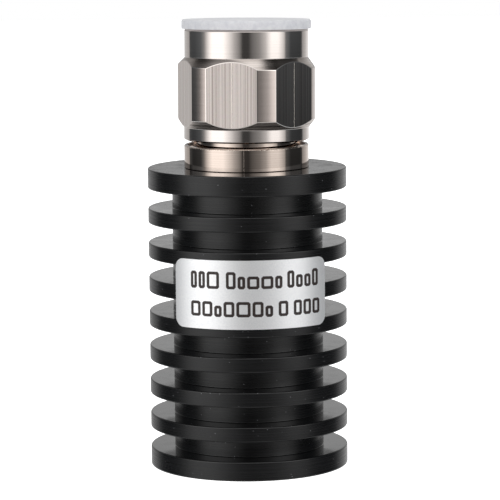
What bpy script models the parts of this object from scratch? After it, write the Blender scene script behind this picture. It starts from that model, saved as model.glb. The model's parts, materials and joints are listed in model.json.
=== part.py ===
"""Finned coaxial load with a screw-on plug connector, modelled piece by piece.

The load stands on its lower flange. The origin is the centre of that flange's underside,
+Z runs up the common axis and -Y is the side that carries the rating label.
Lengths are in metres.
"""
import math

import bmesh
import bpy
from mathutils import Matrix, Vector

MM = 0.001

# Clearances
SEAT_GAP = 0.30 * MM          # between pieces that seat on or in each other
RUNNING_GAP = 0.30 * MM       # round the pieces that turn against each other
LABEL_GAP = 0.10 * MM         # adhesive under the label
CAP_GAP = 0.20 * MM           # under the cap's flange
CUT_MARGIN = 1.0 * MM         # how far a cutter runs past what it cuts

# Facets round the axis
BODY_STEPS = 48
INNER_STEPS = 32
SMALL_STEPS = 20

# Small socket-head screws
SCREW_SHANK_RADIUS = 0.8 * MM
SCREW_HEAD_RADIUS = 1.5 * MM
SCREW_HEAD_HEIGHT = 1.3 * MM
SCREW_HEAD_BREAK = 0.15 * MM
SCREW_SOCKET_FLATS = 1.3 * MM
SCREW_SOCKET_DEPTH = 0.7 * MM
SCREW_HOLE_RADIUS = SCREW_SHANK_RADIUS + SEAT_GAP
SCREW_HOLE_SPARE = 0.35 * MM  # depth of a tapped hole past its screw
DISC_SCREW_LENGTH = 6.0 * MM
DISC_SCREW_TURN = math.radians(-22)
FLANGE_SCREW_LENGTH = 3.4 * MM

# Resistor, a bought piece with two screws beside its substrate
SUBSTRATE_WIDTH = 4.8 * MM
SUBSTRATE_HEIGHT = 5.8 * MM
SUBSTRATE_THICKNESS = 1.0 * MM
SUBSTRATE_MARGIN = 0.3 * MM   # flange above and below the substrate, substrate round the lid
SUBSTRATE_SCREW_ROOM = 0.65 * MM
FLANGE_SCREW_X = SUBSTRATE_WIDTH / 2 + SUBSTRATE_SCREW_ROOM + SCREW_HEAD_RADIUS
FLANGE_SCREW_EDGE = 1.75 * MM  # screw axis to the flange's end
FLANGE_LENGTH = 2 * (FLANGE_SCREW_X + FLANGE_SCREW_EDGE)
FLANGE_HEIGHT = SUBSTRATE_HEIGHT + 2 * SUBSTRATE_MARGIN
FLANGE_THICKNESS = 1.2 * MM
TAB_WIDTH = 1.2 * MM
TAB_THICKNESS = 0.2 * MM
TAB_BOND_LENGTH = 1.2 * MM
LID_TAB_ROOM = 0.5 * MM
LID_WIDTH = SUBSTRATE_WIDTH - 2 * SUBSTRATE_MARGIN
LID_HEIGHT = SUBSTRATE_HEIGHT - SUBSTRATE_MARGIN - TAB_BOND_LENGTH - LID_TAB_ROOM
LID_THICKNESS = 0.8 * MM
RESISTOR_DROP = 10.6 * MM     # from the spreader's disc to the middle of the resistor

# Spreader, wide enough to carry the resistor on the flat of its tongue
SPREADER_FACE_Y = 3.3 * MM
FLANGE_SIDE_MARGIN = 0.66 * MM
SPREADER_RADIUS = math.hypot(FLANGE_LENGTH / 2 + FLANGE_SIDE_MARGIN, SPREADER_FACE_Y)
SPREADER_DISC_THICKNESS = 2.6 * MM
SPREADER_END_ROOM = 3.0 * MM  # between the tongue's end and the bore's floor
SPREADER_PIN_HOLE_RADIUS = 2.2 * MM

# Heat sink; its bore takes the spreader and its counterbore the connector's spigot
FIN_RADIUS = 16.0 * MM
CORE_RADIUS = 12.1 * MM
FIN_COUNT = 7
FIN_THICKNESS = 2.4 * MM
END_FLANGE_THICKNESS = 3.1 * MM
FIN_SPACING = 3.15 * MM
FIN_EDGE_BREAK = 0.22 * MM
BORE_RADIUS = SPREADER_RADIUS + SEAT_GAP
BORE_STEP = 0.7 * MM          # ledge between the bore and the counterbore
COUNTERBORE_RADIUS = BORE_RADIUS + BORE_STEP
BORE_FLOOR_Z = 11.0 * MM
DRILL_POINT_ANGLE = math.radians(118)
SINK_HEIGHT = (2 * END_FLANGE_THICKNESS + FIN_COUNT * FIN_THICKNESS
               + (FIN_COUNT + 1) * FIN_SPACING)

# Connector body
COLLAR_RADIUS = 10.04 * MM
COLLAR_HEIGHT = 3.85 * MM
COLLAR_EDGE_BREAK = 0.25 * MM
COLLAR_CHAMFER_WIDTH = 0.55 * MM
SPIGOT_RADIUS = COUNTERBORE_RADIUS - SEAT_GAP
SPIGOT_LENGTH = 8.0 * MM
SPIGOT_CHAMFER = 0.4 * MM
NECK_RADIUS = 8.0 * MM
SHANK_LAND = 1.4 * MM         # shank above the ring's groove
FRONT_POCKET_DEPTH = 8.1 * MM
LINE_RADIUS = 3.5 * MM
REAR_POCKET_STEP = 0.6 * MM   # ledge that stops the rear insulator
REAR_POCKET_RADIUS = LINE_RADIUS + REAR_POCKET_STEP
REAR_POCKET_DEPTH = 5.0 * MM
DISC_SCREW_CIRCLE = (REAR_POCKET_RADIUS + SPREADER_RADIUS) / 2
DISC_SCREW_X = DISC_SCREW_CIRCLE * math.cos(DISC_SCREW_TURN)
DISC_SCREW_Y = DISC_SCREW_CIRCLE * math.sin(DISC_SCREW_TURN)

# Rating label, wrapped round the fins
LABEL_HEIGHT = 10.9 * MM
LABEL_LENGTH = 26.2 * MM
LABEL_THICKNESS = 0.12 * MM
LABEL_CORNER_RADIUS = 1.55 * MM
LABEL_MIDDLE_DISC = 5         # discs are counted from 0 at the base
LABEL_OFFSET = 0.10 * MM      # above the middle of that disc
LABEL_CENTRE_ANGLE = math.radians(-88.0)
LABEL_CORNER_STEPS = 4

# Retaining ring and the two grooves that it links
RING_THICKNESS = 0.8 * MM
RING_WIDTH = 1.15 * MM
RING_SPLIT = 1.2 * MM
RING_GROOVE_DEPTH = 0.7 * MM
RING_INNER_RADIUS = NECK_RADIUS - RING_GROOVE_DEPTH + RUNNING_GAP
RING_OUTER_RADIUS = RING_INNER_RADIUS + RING_WIDTH

# Coupling nut
NUT_LENGTH = 17.90 * MM
NUT_SKIRT_WALL = 1.78 * MM
NUT_BARREL_STEP = 0.10 * MM   # how much the barrel is turned down below the skirt's radius
NUT_FLAT_RISE = 0.22 * MM     # flats over the skirt
NUT_CORNER_RISE = 1.03 * MM   # corners over the skirt
NUT_LIP_RADIUS = NECK_RADIUS + RUNNING_GAP
NUT_SKIRT_RADIUS = NUT_LIP_RADIUS + NUT_SKIRT_WALL
NUT_BARREL_RADIUS = NUT_SKIRT_RADIUS - NUT_BARREL_STEP
NUT_CORNER_RADIUS = NUT_SKIRT_RADIUS + NUT_CORNER_RISE
NUT_ACROSS_FLATS = 2 * (NUT_SKIRT_RADIUS + NUT_FLAT_RISE)
NUT_SKIRT_HEIGHT = 2.12 * MM
NUT_LOWER_CONE_HEIGHT = 1.48 * MM
NUT_HEX_HEIGHT = 8.12 * MM
NUT_UPPER_CONE_HEIGHT = 1.55 * MM
NUT_LOWER_CHAMFER = Vector((0.50, 0.25)) * MM
NUT_RIM_CHAMFER = 0.22 * MM
NUT_FLAT_ANGLE = math.radians(16.8)
NUT_LIP_HEIGHT = 2.40 * MM
NUT_LIFT = 0.55 * MM          # open groove between the collar and the nut
THREAD_STEP = 0.6 * MM        # thread's minor radius inside the neck's radius
THREAD_MINOR_RADIUS = NECK_RADIUS - THREAD_STEP
THREAD_LEAD_IN = 0.6 * MM
THREAD_RELIEF = 1.0 * MM      # plain bore between the gasket and the thread

# Dust cap
CAP_OVERHANG = 0.45 * MM      # flange beyond the nut's barrel
CAP_RADIUS = NUT_BARREL_RADIUS + CAP_OVERHANG
CAP_FLANGE_THICKNESS = 1.40 * MM
CAP_EDGE_RADIUS = 0.40 * MM
CAP_EDGE_STEPS = 3
CAP_LOWER_BREAK = 0.15 * MM
CAP_SKIRT_RADIUS = THREAD_MINOR_RADIUS - SEAT_GAP
CAP_SKIRT_LENGTH = 7.4 * MM
CAP_WALL = 0.9 * MM
CAP_SKIRT_LEAD_IN = 0.4 * MM

# Line section: insulators, outer contact, centre pin, gasket
FRONT_INSULATOR_HEIGHT = 3.7 * MM
CONTACT_WALL = 0.5 * MM
CONTACT_RADIUS = LINE_RADIUS + CONTACT_WALL
CONTACT_SETBACK = 2.2 * MM    # below the nut's rim
CONTACT_END_BREAK = 0.15 * MM
CONTACT_SLOT_WIDTH = 0.45 * MM
CONTACT_SLOT_DEPTH = 4.5 * MM
FRONT_POCKET_RADIUS = CONTACT_RADIUS + SEAT_GAP
PIN_RADIUS = 1.52 * MM
PIN_TIP_RADIUS = 0.82 * MM
PIN_TAIL_RADIUS = 1.0 * MM
PIN_SHOULDER_SETBACK = 5.5 * MM
PIN_TIP_LENGTH = 3.4 * MM
PIN_TIP_ROUND_STEPS = 3
PIN_TAIL_LENGTH = 11.6 * MM
PIN_FLAT_LENGTH = 3.4 * MM
GASKET_THICKNESS = 1.2 * MM
GASKET_RADIUS = THREAD_MINOR_RADIUS - SEAT_GAP

# Heights that follow from the sizes above
COLLAR_BOTTOM_Z = SINK_HEIGHT + SEAT_GAP
COLLAR_TOP_Z = COLLAR_BOTTOM_Z + COLLAR_HEIGHT
SPIGOT_BOTTOM_Z = COLLAR_BOTTOM_Z - SPIGOT_LENGTH
NUT_BOTTOM_Z = COLLAR_TOP_Z + NUT_LIFT
NUT_TOP_Z = NUT_BOTTOM_Z + NUT_LENGTH
GROOVE_BOTTOM_Z = NUT_BOTTOM_Z + NUT_LIP_HEIGHT
RING_BOTTOM_Z = GROOVE_BOTTOM_Z + RUNNING_GAP
RING_TOP_Z = RING_BOTTOM_Z + RING_THICKNESS
GROOVE_TOP_Z = RING_TOP_Z + RUNNING_GAP
SHANK_TOP_Z = GROOVE_TOP_Z + SHANK_LAND
GASKET_BOTTOM_Z = SHANK_TOP_Z + SEAT_GAP
GASKET_TOP_Z = GASKET_BOTTOM_Z + GASKET_THICKNESS
THREAD_BOTTOM_Z = GASKET_TOP_Z + THREAD_RELIEF
FRONT_LEDGE_Z = SHANK_TOP_Z - FRONT_POCKET_DEPTH
REAR_LEDGE_Z = SPIGOT_BOTTOM_Z + REAR_POCKET_DEPTH
CONTACT_BOTTOM_Z = FRONT_LEDGE_Z + SEAT_GAP + FRONT_INSULATOR_HEIGHT + SEAT_GAP
CONTACT_TOP_Z = NUT_TOP_Z - CONTACT_SETBACK
PIN_SHOULDER_Z = CONTACT_TOP_Z - PIN_SHOULDER_SETBACK
PIN_TAIL_Z = REAR_LEDGE_Z - PIN_TAIL_LENGTH
CAP_FLANGE_Z = NUT_TOP_Z + CAP_GAP
DISC_TOP_Z = SPIGOT_BOTTOM_Z - SEAT_GAP
DISC_BOTTOM_Z = DISC_TOP_Z - SPREADER_DISC_THICKNESS
RESISTOR_Z = DISC_BOTTOM_Z - RESISTOR_DROP

# The resistor's layers, from the spreader's flat face towards -Y
FLANGE_BACK_Y = SPREADER_FACE_Y - SEAT_GAP
FLANGE_FRONT_Y = FLANGE_BACK_Y - FLANGE_THICKNESS
SUBSTRATE_BACK_Y = FLANGE_FRONT_Y - SEAT_GAP
SUBSTRATE_FRONT_Y = SUBSTRATE_BACK_Y - SUBSTRATE_THICKNESS
TAB_BACK_Y = SUBSTRATE_FRONT_Y - SEAT_GAP
TAB_FRONT_Y = TAB_BACK_Y - TAB_THICKNESS
PIN_FLAT_Y = TAB_FRONT_Y - SEAT_GAP


def clear_scene():
    for old in list(bpy.data.objects):
        bpy.data.objects.remove(old, do_unlink=True)


def finish_material(name, colour, metallic, roughness):
    material = bpy.data.materials.new(name)
    material.use_nodes = True
    shader = material.node_tree.nodes["Principled BSDF"]
    shader.inputs["Base Color"].default_value = (*colour, 1.0)
    shader.inputs["Metallic"].default_value = metallic
    shader.inputs["Roughness"].default_value = roughness
    material.diffuse_color = (*colour, 1.0)
    return material


def make_materials():
    return {
        "anodised": finish_material("black_anodised_aluminium", (0.018, 0.018, 0.019), 0.6, 0.38),
        "label": finish_material("silver_polyester_film", (0.70, 0.71, 0.73), 0.5, 0.35),
        "nickel": finish_material("nickel_plated_brass", (0.64, 0.59, 0.55), 1.0, 0.22),
        "gold": finish_material("gold_plated_bronze", (0.90, 0.66, 0.28), 1.0, 0.20),
        "ptfe": finish_material("white_ptfe", (0.85, 0.85, 0.83), 0.0, 0.45),
        "silicone": finish_material("red_silicone", (0.42, 0.06, 0.04), 0.0, 0.60),
        "spring": finish_material("spring_steel", (0.45, 0.44, 0.42), 1.0, 0.35),
        "cap": finish_material("translucent_polyethylene", (0.72, 0.73, 0.75), 0.0, 0.40),
        "aluminium": finish_material("milled_aluminium", (0.72, 0.72, 0.73), 1.0, 0.35),
        "copper": finish_material("nickel_flashed_copper", (0.68, 0.45, 0.33), 1.0, 0.35),
        "nitride": finish_material("aluminium_nitride", (0.48, 0.46, 0.43), 0.0, 0.60),
        "alumina": finish_material("white_alumina", (0.80, 0.79, 0.76), 0.0, 0.55),
        "silver": finish_material("silver_plated_strip", (0.80, 0.79, 0.77), 1.0, 0.25),
        "stainless": finish_material("stainless_steel", (0.56, 0.55, 0.53), 1.0, 0.30),
    }


def add_object(name, mesh_data, material, smooth=True):
    """Close a bmesh into a named object with one material."""
    bmesh.ops.recalc_face_normals(mesh_data, faces=mesh_data.faces)
    mesh = bpy.data.meshes.new(name)
    mesh_data.to_mesh(mesh)
    mesh_data.free()
    if smooth:
        mesh.shade_smooth()
        mesh.set_sharp_from_angle(angle=math.radians(25))
    if material is not None:
        mesh.materials.append(material)
    piece = bpy.data.objects.new(name, mesh)
    bpy.context.scene.collection.objects.link(piece)
    return piece


def turned(name, outline, material, steps):
    """Spin a (radius, height) outline round Z.

    An outline whose two ends are on the axis is left open there; any other is a closed loop.
    """
    mesh_data = bmesh.new()
    points = [mesh_data.verts.new((radius, 0.0, height)) for radius, height in outline]
    edges = [mesh_data.edges.new(pair) for pair in zip(points, points[1:])]
    on_axis = outline[0][0] == 0.0 and outline[-1][0] == 0.0
    if not on_axis:
        edges.append(mesh_data.edges.new((points[-1], points[0])))
    bmesh.ops.spin(mesh_data, geom=points + edges, cent=(0, 0, 0), axis=(0, 0, 1),
                   angle=math.tau, steps=steps, use_merge=True)
    bmesh.ops.remove_doubles(mesh_data, verts=mesh_data.verts, dist=1e-7)
    return add_object(name, mesh_data, material)


def extruded(name, outline, direction, material, smooth=False):
    """Extrude a flat outline, a list of 3-D points, along a vector."""
    mesh_data = bmesh.new()
    base = mesh_data.faces.new([mesh_data.verts.new(point) for point in outline])
    sweep = bmesh.ops.extrude_face_region(mesh_data, geom=[base])
    moved = [item for item in sweep["geom"] if isinstance(item, bmesh.types.BMVert)]
    bmesh.ops.translate(mesh_data, verts=moved, vec=direction)
    return add_object(name, mesh_data, material, smooth)


def block(name, low, high, material):
    """A rectangular block between two opposite corners."""
    outline = [(low[0], low[1], low[2]), (high[0], low[1], low[2]),
               (high[0], high[1], low[2]), (low[0], high[1], low[2])]
    return extruded(name, outline, (0, 0, high[2] - low[2]), material)


def hexagon(across_flats, flat_angle, height):
    """Corners of a hexagon in the plane z = height; flat_angle points at one flat."""
    corner_radius = across_flats / 2 / math.cos(math.pi / 6)
    corners = []
    for index in range(6):
        angle = flat_angle + math.pi / 6 + index * math.pi / 3
        corners.append((corner_radius * math.cos(angle), corner_radius * math.sin(angle), height))
    return corners


def combine(target, tool, operation):
    """Add a Boolean to target and hide the tool that it reads."""
    modifier = target.modifiers.new(tool.name, "BOOLEAN")
    modifier.object = tool
    modifier.operation = operation
    modifier.solver = "EXACT"
    tool.hide_render = True
    tool.display_type = "WIRE"


def drill(name, target, radius, start, end, steps=SMALL_STEPS):
    """Cut a round hole in target from start to end, two points on the hole's axis."""
    length = (end - start).length
    cutter = turned(name, [(0.0, 0.0), (radius, 0.0), (radius, length), (0.0, length)], None, steps)
    turn = Vector((0, 0, 1)).rotation_difference((end - start).normalized())
    cutter.matrix_world = Matrix.Translation(start) @ turn.to_matrix().to_4x4()
    combine(target, cutter, "DIFFERENCE")


def disc_levels():
    """Bottom and top of each flange and fin, from the base up."""
    thicknesses = ([END_FLANGE_THICKNESS] + [FIN_THICKNESS] * FIN_COUNT
                   + [END_FLANGE_THICKNESS])
    levels = []
    bottom = 0.0
    for thickness in thicknesses:
        levels.append((bottom, bottom + thickness))
        bottom += thickness + FIN_SPACING
    return levels


def build_heat_sink(materials):
    outline = [(0.0, 0.0)]
    levels = disc_levels()
    for index, (bottom, top) in enumerate(levels):
        if index > 0:
            outline.append((CORE_RADIUS, bottom))
        outline.append((FIN_RADIUS - FIN_EDGE_BREAK, bottom))
        outline.append((FIN_RADIUS, bottom + FIN_EDGE_BREAK))
        outline.append((FIN_RADIUS, top - FIN_EDGE_BREAK))
        outline.append((FIN_RADIUS - FIN_EDGE_BREAK, top))
        if index < len(levels) - 1:
            outline.append((CORE_RADIUS, top))
    shoulder_z = SPIGOT_BOTTOM_Z - SEAT_GAP
    outline.append((COUNTERBORE_RADIUS, SINK_HEIGHT))
    outline.append((COUNTERBORE_RADIUS, shoulder_z))
    outline.append((BORE_RADIUS, shoulder_z))
    outline.append((BORE_RADIUS, BORE_FLOOR_Z))
    outline.append((0.0, BORE_FLOOR_Z - BORE_RADIUS / math.tan(DRILL_POINT_ANGLE / 2)))
    return turned("heat_sink", outline, materials["anodised"], BODY_STEPS)


def on_facet(radius, angle):
    """Distance from the axis to a facet of a turned piece of that radius, seen at an angle."""
    step = math.tau / BODY_STEPS
    from_middle = (angle % step) - step / 2
    return radius * math.cos(step / 2) / math.cos(from_middle)


def label_columns():
    """Places along the label's length, with how far its edge is drawn in there by the corners."""
    half = LABEL_LENGTH / 2
    columns = {}
    for index in range(LABEL_CORNER_STEPS + 1):
        turn = math.pi / 2 * index / LABEL_CORNER_STEPS
        inset = LABEL_CORNER_RADIUS * (1 - math.sin(turn))
        place = half - LABEL_CORNER_RADIUS * (1 - math.cos(turn))
        columns[round(place, 7)] = inset
        columns[round(-place, 7)] = inset
    step = math.tau / BODY_STEPS
    straight = half - LABEL_CORNER_RADIUS
    first = math.ceil((LABEL_CENTRE_ANGLE - straight / FIN_RADIUS) / step)
    last = math.floor((LABEL_CENTRE_ANGLE + straight / FIN_RADIUS) / step)
    for index in range(first, last + 1):
        columns[round((index * step - LABEL_CENTRE_ANGLE) * FIN_RADIUS, 7)] = 0.0
    return sorted(columns.items())


def build_rating_label(materials):
    disc_bottom, disc_top = disc_levels()[LABEL_MIDDLE_DISC]
    label_middle = (disc_bottom + disc_top) / 2 + LABEL_OFFSET
    inner = FIN_RADIUS + LABEL_GAP
    outer = inner + LABEL_THICKNESS
    mesh_data = bmesh.new()
    rings = []
    for place, inset in label_columns():
        angle = LABEL_CENTRE_ANGLE + place / FIN_RADIUS
        low = label_middle - LABEL_HEIGHT / 2 + inset
        high = label_middle + LABEL_HEIGHT / 2 - inset
        ring = []
        for radius, height in ((inner, low), (outer, low), (outer, high), (inner, high)):
            reach = on_facet(radius, angle)
            point = (reach * math.cos(angle), reach * math.sin(angle), height)
            ring.append(mesh_data.verts.new(point))
        rings.append(ring)
    for near, far in zip(rings, rings[1:]):
        for index in range(4):
            after = (index + 1) % 4
            mesh_data.faces.new((near[index], near[after], far[after], far[index]))
    mesh_data.faces.new(rings[0])
    mesh_data.faces.new(rings[-1])
    return add_object("rating_label", mesh_data, materials["label"])


def build_connector_body(materials):
    groove_radius = NECK_RADIUS - RING_GROOVE_DEPTH
    outline = [
        (REAR_POCKET_RADIUS, SPIGOT_BOTTOM_Z),
        (SPIGOT_RADIUS - SPIGOT_CHAMFER, SPIGOT_BOTTOM_Z),
        (SPIGOT_RADIUS, SPIGOT_BOTTOM_Z + SPIGOT_CHAMFER),
        (SPIGOT_RADIUS, COLLAR_BOTTOM_Z),
        (COLLAR_RADIUS - COLLAR_EDGE_BREAK, COLLAR_BOTTOM_Z),
        (COLLAR_RADIUS, COLLAR_BOTTOM_Z + COLLAR_EDGE_BREAK),
        (COLLAR_RADIUS, COLLAR_TOP_Z - COLLAR_CHAMFER_WIDTH),
        (COLLAR_RADIUS - COLLAR_CHAMFER_WIDTH, COLLAR_TOP_Z),
        (NECK_RADIUS, COLLAR_TOP_Z),
        (NECK_RADIUS, GROOVE_BOTTOM_Z),
        (groove_radius, GROOVE_BOTTOM_Z),
        (groove_radius, GROOVE_TOP_Z),
        (NECK_RADIUS, GROOVE_TOP_Z),
        (NECK_RADIUS, SHANK_TOP_Z),
        (FRONT_POCKET_RADIUS, SHANK_TOP_Z),
        (FRONT_POCKET_RADIUS, FRONT_LEDGE_Z),
        (LINE_RADIUS, FRONT_LEDGE_Z),
        (LINE_RADIUS, REAR_LEDGE_Z),
        (REAR_POCKET_RADIUS, REAR_LEDGE_Z),
    ]
    body = turned("connector_body", outline, materials["nickel"], BODY_STEPS)
    hole_end = DISC_BOTTOM_Z - SEAT_GAP + DISC_SCREW_LENGTH + SCREW_HOLE_SPARE
    for index, side in enumerate((-1, 1), start=1):
        start = Vector((side * DISC_SCREW_X, DISC_SCREW_Y, SPIGOT_BOTTOM_Z - CUT_MARGIN))
        end = Vector((side * DISC_SCREW_X, DISC_SCREW_Y, hole_end))
        drill(f"body_hole_cutter_{index}", body, SCREW_HOLE_RADIUS, start, end)
    return body


def build_coupling_nut(materials):
    """Turned blank with a retaining groove inside, crossed with a hexagonal bar."""
    groove_radius = RING_OUTER_RADIUS + RUNNING_GAP
    skirt_top = NUT_BOTTOM_Z + NUT_SKIRT_HEIGHT
    corner_bottom = skirt_top + NUT_LOWER_CONE_HEIGHT
    corner_top = corner_bottom + NUT_HEX_HEIGHT
    barrel_bottom = corner_top + NUT_UPPER_CONE_HEIGHT
    outline = [
        (NUT_LIP_RADIUS, NUT_BOTTOM_Z),
        (NUT_SKIRT_RADIUS - NUT_LOWER_CHAMFER.x, NUT_BOTTOM_Z),
        (NUT_SKIRT_RADIUS, NUT_BOTTOM_Z + NUT_LOWER_CHAMFER.y),
        (NUT_SKIRT_RADIUS, skirt_top),
        (NUT_CORNER_RADIUS, corner_bottom),
        (NUT_CORNER_RADIUS, corner_top),
        (NUT_BARREL_RADIUS, barrel_bottom),
        (NUT_BARREL_RADIUS, NUT_TOP_Z - NUT_RIM_CHAMFER),
        (NUT_BARREL_RADIUS - NUT_RIM_CHAMFER, NUT_TOP_Z),
        (THREAD_MINOR_RADIUS + THREAD_LEAD_IN, NUT_TOP_Z),
        (THREAD_MINOR_RADIUS, NUT_TOP_Z - THREAD_LEAD_IN),
        (THREAD_MINOR_RADIUS, THREAD_BOTTOM_Z),
        (NUT_LIP_RADIUS, THREAD_BOTTOM_Z),
        (NUT_LIP_RADIUS, GROOVE_TOP_Z),
        (groove_radius, GROOVE_TOP_Z),
        (groove_radius, GROOVE_BOTTOM_Z),
        (NUT_LIP_RADIUS, GROOVE_BOTTOM_Z),
    ]
    nut = turned("coupling_nut", outline, materials["nickel"], BODY_STEPS)
    nut.data.transform(Matrix.Rotation(NUT_FLAT_ANGLE, 4, "Z"))
    bar = extruded("nut_hexagon_cutter",
                   hexagon(NUT_ACROSS_FLATS, NUT_FLAT_ANGLE, NUT_BOTTOM_Z - CUT_MARGIN),
                   (0, 0, NUT_LENGTH + 2 * CUT_MARGIN), None)
    combine(nut, bar, "INTERSECT")
    return nut


def build_dust_cap(materials):
    """Flanged plug, open underneath, pushed into the nut's thread."""
    top = CAP_FLANGE_Z + CAP_FLANGE_THICKNESS
    skirt_bottom = CAP_FLANGE_Z - CAP_SKIRT_LENGTH
    outline = [
        (0.0, CAP_FLANGE_Z),
        (CAP_SKIRT_RADIUS - CAP_WALL, CAP_FLANGE_Z),
        (CAP_SKIRT_RADIUS - CAP_WALL, skirt_bottom),
        (CAP_SKIRT_RADIUS - CAP_SKIRT_LEAD_IN, skirt_bottom),
        (CAP_SKIRT_RADIUS, skirt_bottom + CAP_SKIRT_LEAD_IN),
        (CAP_SKIRT_RADIUS, CAP_FLANGE_Z),
        (CAP_RADIUS - CAP_LOWER_BREAK, CAP_FLANGE_Z),
        (CAP_RADIUS, CAP_FLANGE_Z + CAP_LOWER_BREAK),
    ]
    for index in range(CAP_EDGE_STEPS + 1):
        turn = math.pi / 2 * index / CAP_EDGE_STEPS
        radius = CAP_RADIUS - CAP_EDGE_RADIUS * (1 - math.cos(turn))
        outline.append((radius, top - CAP_EDGE_RADIUS * (1 - math.sin(turn))))
    outline.append((0.0, top))
    return turned("dust_cap", outline, materials["cap"], BODY_STEPS)


def build_retaining_ring(materials):
    outline = [(RING_INNER_RADIUS, RING_BOTTOM_Z), (RING_OUTER_RADIUS, RING_BOTTOM_Z),
               (RING_OUTER_RADIUS, RING_TOP_Z), (RING_INNER_RADIUS, RING_TOP_Z)]
    ring = turned("retaining_ring", outline, materials["spring"], BODY_STEPS)
    split = block("ring_split_cutter", (-RING_SPLIT / 2, 0.0, RING_BOTTOM_Z - CUT_MARGIN),
                  (RING_SPLIT / 2, RING_OUTER_RADIUS + CUT_MARGIN, RING_TOP_Z + CUT_MARGIN), None)
    combine(ring, split, "DIFFERENCE")
    return ring


def build_face_gasket(materials):
    outline = [(FRONT_POCKET_RADIUS, GASKET_BOTTOM_Z), (GASKET_RADIUS, GASKET_BOTTOM_Z),
               (GASKET_RADIUS, GASKET_TOP_Z), (FRONT_POCKET_RADIUS, GASKET_TOP_Z)]
    return turned("face_gasket", outline, materials["silicone"], INNER_STEPS)


def build_insulator(name, radius, hole_radius, bottom, top, materials):
    outline = [(hole_radius, bottom), (radius, bottom), (radius, top), (hole_radius, top)]
    return turned(name, outline, materials["ptfe"], INNER_STEPS)


def build_outer_contact(materials):
    """Thin sleeve whose free end is slit into four spring fingers."""
    outline = [
        (LINE_RADIUS, CONTACT_BOTTOM_Z),
        (CONTACT_RADIUS, CONTACT_BOTTOM_Z),
        (CONTACT_RADIUS, CONTACT_TOP_Z - CONTACT_END_BREAK),
        (CONTACT_RADIUS - CONTACT_END_BREAK, CONTACT_TOP_Z),
        (LINE_RADIUS, CONTACT_TOP_Z),
    ]
    sleeve = turned("outer_contact", outline, materials["gold"], INNER_STEPS)
    reach = CONTACT_RADIUS + CUT_MARGIN
    half = CONTACT_SLOT_WIDTH / 2
    for index, turn in enumerate((math.pi / 4, -math.pi / 4), start=1):
        slot = block(f"contact_slot_cutter_{index}",
                     (-reach, -half, CONTACT_TOP_Z - CONTACT_SLOT_DEPTH),
                     (reach, half, CONTACT_TOP_Z + CUT_MARGIN), None)
        slot.rotation_euler.z = turn
        combine(sleeve, slot, "DIFFERENCE")
    return sleeve


def build_centre_pin(materials):
    tip_z = PIN_SHOULDER_Z + PIN_TIP_LENGTH
    outline = [
        (0.0, PIN_TAIL_Z),
        (PIN_TAIL_RADIUS, PIN_TAIL_Z),
        (PIN_TAIL_RADIUS, REAR_LEDGE_Z),
        (PIN_RADIUS, REAR_LEDGE_Z),
        (PIN_RADIUS, PIN_SHOULDER_Z),
        (PIN_TIP_RADIUS, PIN_SHOULDER_Z),
    ]
    for index in range(PIN_TIP_ROUND_STEPS):
        turn = math.pi / 2 * index / PIN_TIP_ROUND_STEPS
        outline.append((PIN_TIP_RADIUS * math.cos(turn),
                        tip_z - PIN_TIP_RADIUS * (1 - math.sin(turn))))
    outline.append((0.0, tip_z))
    pin = turned("centre_pin", outline, materials["gold"], SMALL_STEPS)
    flat = block("pin_flat_cutter",
                 (-PIN_TAIL_RADIUS - CUT_MARGIN, PIN_FLAT_Y, PIN_TAIL_Z - CUT_MARGIN),
                 (PIN_TAIL_RADIUS + CUT_MARGIN, PIN_TAIL_RADIUS + CUT_MARGIN,
                  PIN_TAIL_Z + PIN_FLAT_LENGTH), None)
    combine(pin, flat, "DIFFERENCE")
    return pin


def build_heat_spreader(materials):
    """Round disc under the connector body with a half-round tongue down the sink's bore."""
    disc_outline = [(SPREADER_PIN_HOLE_RADIUS, DISC_BOTTOM_Z), (SPREADER_RADIUS, DISC_BOTTOM_Z),
                    (SPREADER_RADIUS, DISC_TOP_Z), (SPREADER_PIN_HOLE_RADIUS, DISC_TOP_Z)]
    spreader = turned("heat_spreader", disc_outline, materials["aluminium"], BODY_STEPS)
    tongue_bottom = BORE_FLOOR_Z + SPREADER_END_ROOM
    tongue_top = DISC_BOTTOM_Z + SPREADER_DISC_THICKNESS / 2
    edge_angle = math.asin(SPREADER_FACE_Y / SPREADER_RADIUS)
    arc_steps = BODY_STEPS // 3
    section = []
    for index in range(arc_steps + 1):
        angle = edge_angle + (math.pi - 2 * edge_angle) * index / arc_steps
        section.append((SPREADER_RADIUS * math.cos(angle), SPREADER_RADIUS * math.sin(angle),
                        tongue_bottom))
    tongue = extruded("spreader_tongue_joiner", section, (0, 0, tongue_top - tongue_bottom), None)
    combine(spreader, tongue, "UNION")
    for index, side in enumerate((-1, 1), start=1):
        low = Vector((side * DISC_SCREW_X, DISC_SCREW_Y, DISC_BOTTOM_Z - CUT_MARGIN))
        high = Vector((side * DISC_SCREW_X, DISC_SCREW_Y, DISC_TOP_Z + CUT_MARGIN))
        drill(f"disc_hole_cutter_{index}", spreader, SCREW_HOLE_RADIUS, low, high)
        screw_end = FLANGE_FRONT_Y - SEAT_GAP + FLANGE_SCREW_LENGTH
        mouth = Vector((side * FLANGE_SCREW_X, SPREADER_FACE_Y - CUT_MARGIN, RESISTOR_Z))
        floor = Vector((side * FLANGE_SCREW_X, screw_end + SCREW_HOLE_SPARE, RESISTOR_Z))
        drill(f"tongue_hole_cutter_{index}", spreader, SCREW_HOLE_RADIUS, mouth, floor)
    return spreader


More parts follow.
